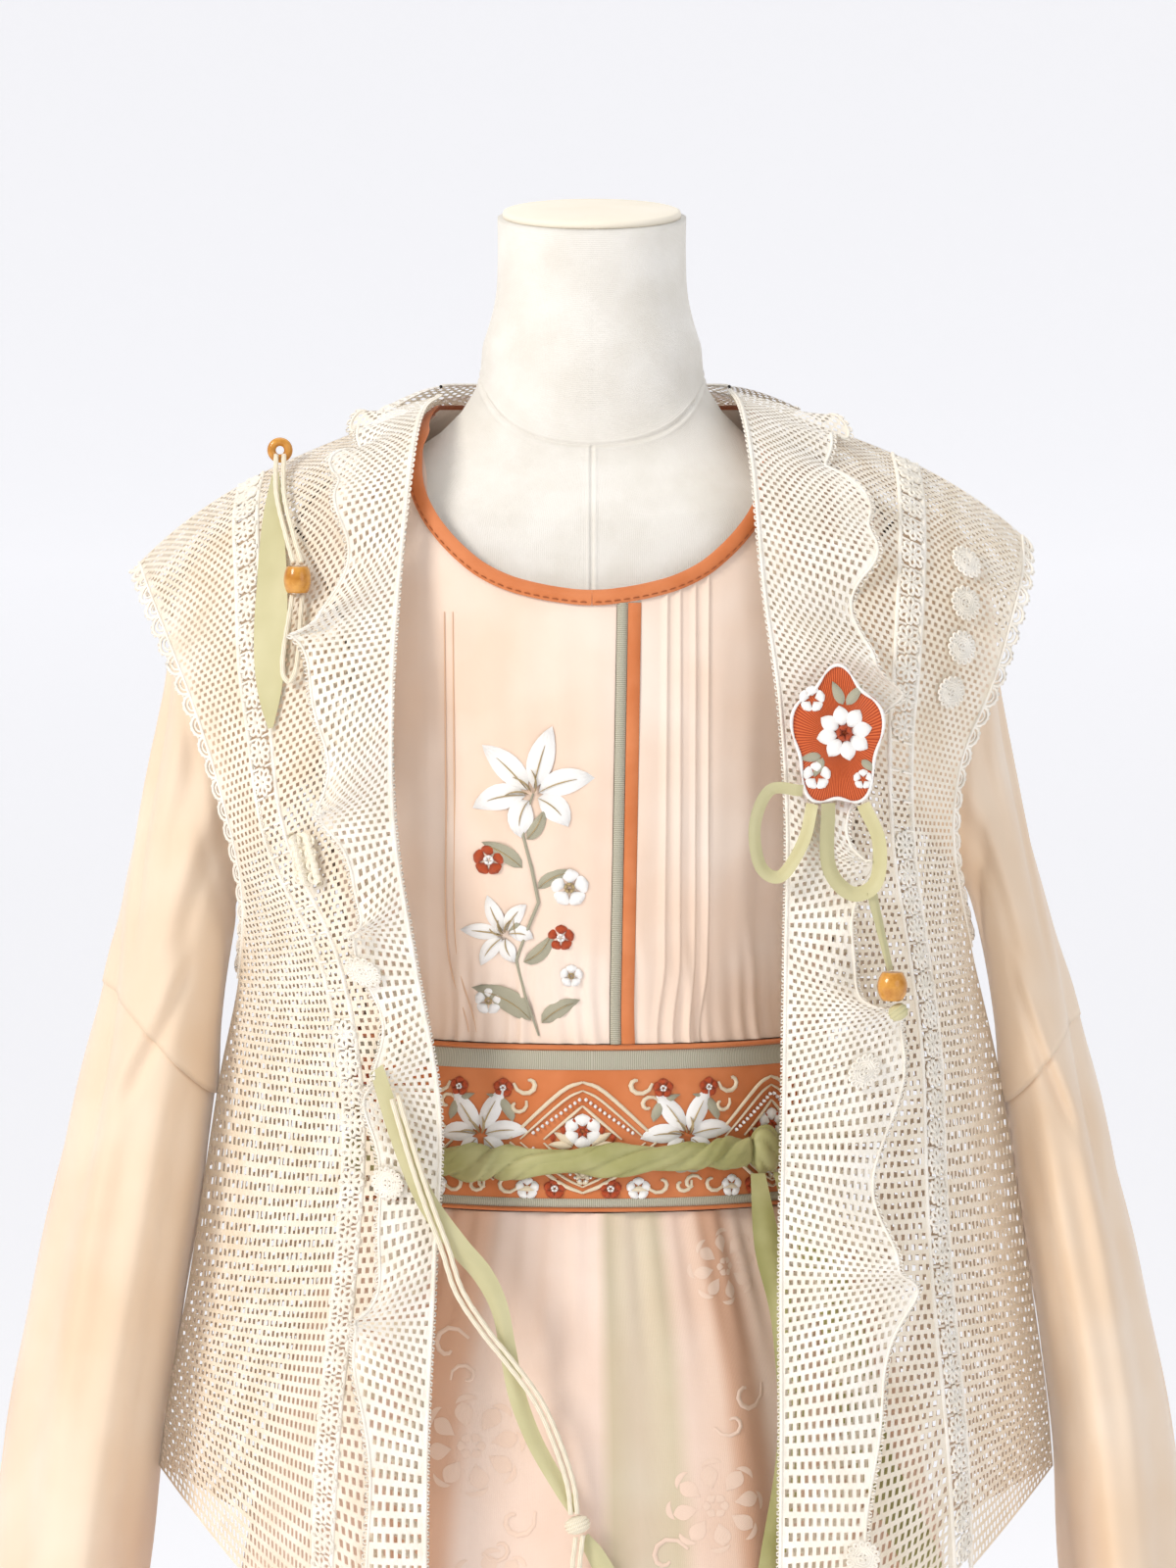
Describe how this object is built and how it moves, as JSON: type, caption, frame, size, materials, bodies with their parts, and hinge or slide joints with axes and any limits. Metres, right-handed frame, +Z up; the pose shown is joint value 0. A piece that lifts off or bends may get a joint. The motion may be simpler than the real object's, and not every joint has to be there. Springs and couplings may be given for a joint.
{
  "type": "hanfu skirt set on a limbless dress form",
  "caption": "Floor-length silk skirt, wide-sleeved bodice and sash under a crochet lace vest, worn on a limbless dress form with pole and base.",
  "frame": {"origin": "on the floor under the centre of the dress form", "axes": "+Z up, -Y the front of the garment, +X the wearer's left"},
  "size_m": [0.7716, 0.5148, 1.5282],
  "materials": {
    "linen": "plain woven linen",
    "cream_board": "cream covered board",
    "painted_iron": "off-white satin paint",
    "peach_silk": "soft silk satin",
    "warm_silk": "soft silk satin",
    "orange_silk": "silk satin",
    "grey_green_stitch": "satin stitch",
    "pink_chiffon": "sheer chiffon",
    "sage_satin": "twisted satin",
    "cream_crochet": "cotton crochet lace",
    "pale_green_satin": "satin ribbon",
    "cream_cord": "twisted cord",
    "varnished_wood": "gloss varnish",
    "rust_felt": "stitched felt",
    "white_thread": "satin stitch"
  },
  "bodies": {
    "root": {"form_torso": "linen", "form_neck_cap": "cream_board", "form_base": "painted_iron", "form_pole": "painted_iron", "bodice_front_r": "peach_silk", "bodice_front_l": "peach_silk", "bodice_back": "peach_silk", "neck_binding": "orange_silk", "placket_piping": "grey_green_stitch", "placket_binding": "orange_silk", "sleeve_upper_r": "warm_silk", "sleeve_upper_l": "warm_silk", "sleeve_lower_r": "warm_silk", "sleeve_lower_l": "warm_silk", "waistband": "orange_silk", "waist_piping_top": "orange_silk", "waist_piping_low": "orange_silk", "waist_trim_top": "grey_green_stitch", "waist_trim_low": "grey_green_stitch", "skirt_front": "pink_chiffon", "skirt_back": "pink_chiffon", "skirt_side_r": "pink_chiffon", "skirt_side_l": "pink_chiffon", "sash_wrap": "sage_satin", "sash_knot": "sage_satin", "sash_tail_inner": "sage_satin", "sash_tail_outer": "sage_satin", "vest_front_r_inner": "cream_crochet", "vest_front_r_outer": "cream_crochet", "vest_front_l_inner": "cream_crochet", "vest_front_l_outer": "cream_crochet", "vest_daisies_r": "cream_crochet", "vest_daisies_l": "cream_crochet", "vest_scallops_r": "cream_crochet", "vest_scallops_l": "cream_crochet", "vest_back": "cream_crochet", "vest_collar": "cream_crochet", "vest_ruffle_r": "cream_crochet", "vest_ruffle_l": "cream_crochet", "strap_leaf": "pale_green_satin", "strap_ring_bead": "varnished_wood", "strap_barrel_bead": "varnished_wood", "strap_cord_top_a": "cream_cord", "strap_cord_top_b": "cream_cord", "strap_loop": "cream_cord", "strap_macrame": "cream_cord", "strap_tape": "pale_green_satin", "strap_tape_end": "pale_green_satin", "strap_cord_a": "cream_cord", "strap_cord_b": "cream_cord", "strap_end_a": "cream_cord", "strap_end_b": "cream_cord", "strap_knot": "cream_cord", "brooch_patch": "rust_felt", "brooch_flower": "white_thread", "brooch_loop_side": "pale_green_satin", "brooch_loop_under": "pale_green_satin", "brooch_tail": "pale_green_satin", "brooch_bead": "varnished_wood", "brooch_knot": "pale_green_satin"}
  },
  "joints": []
}
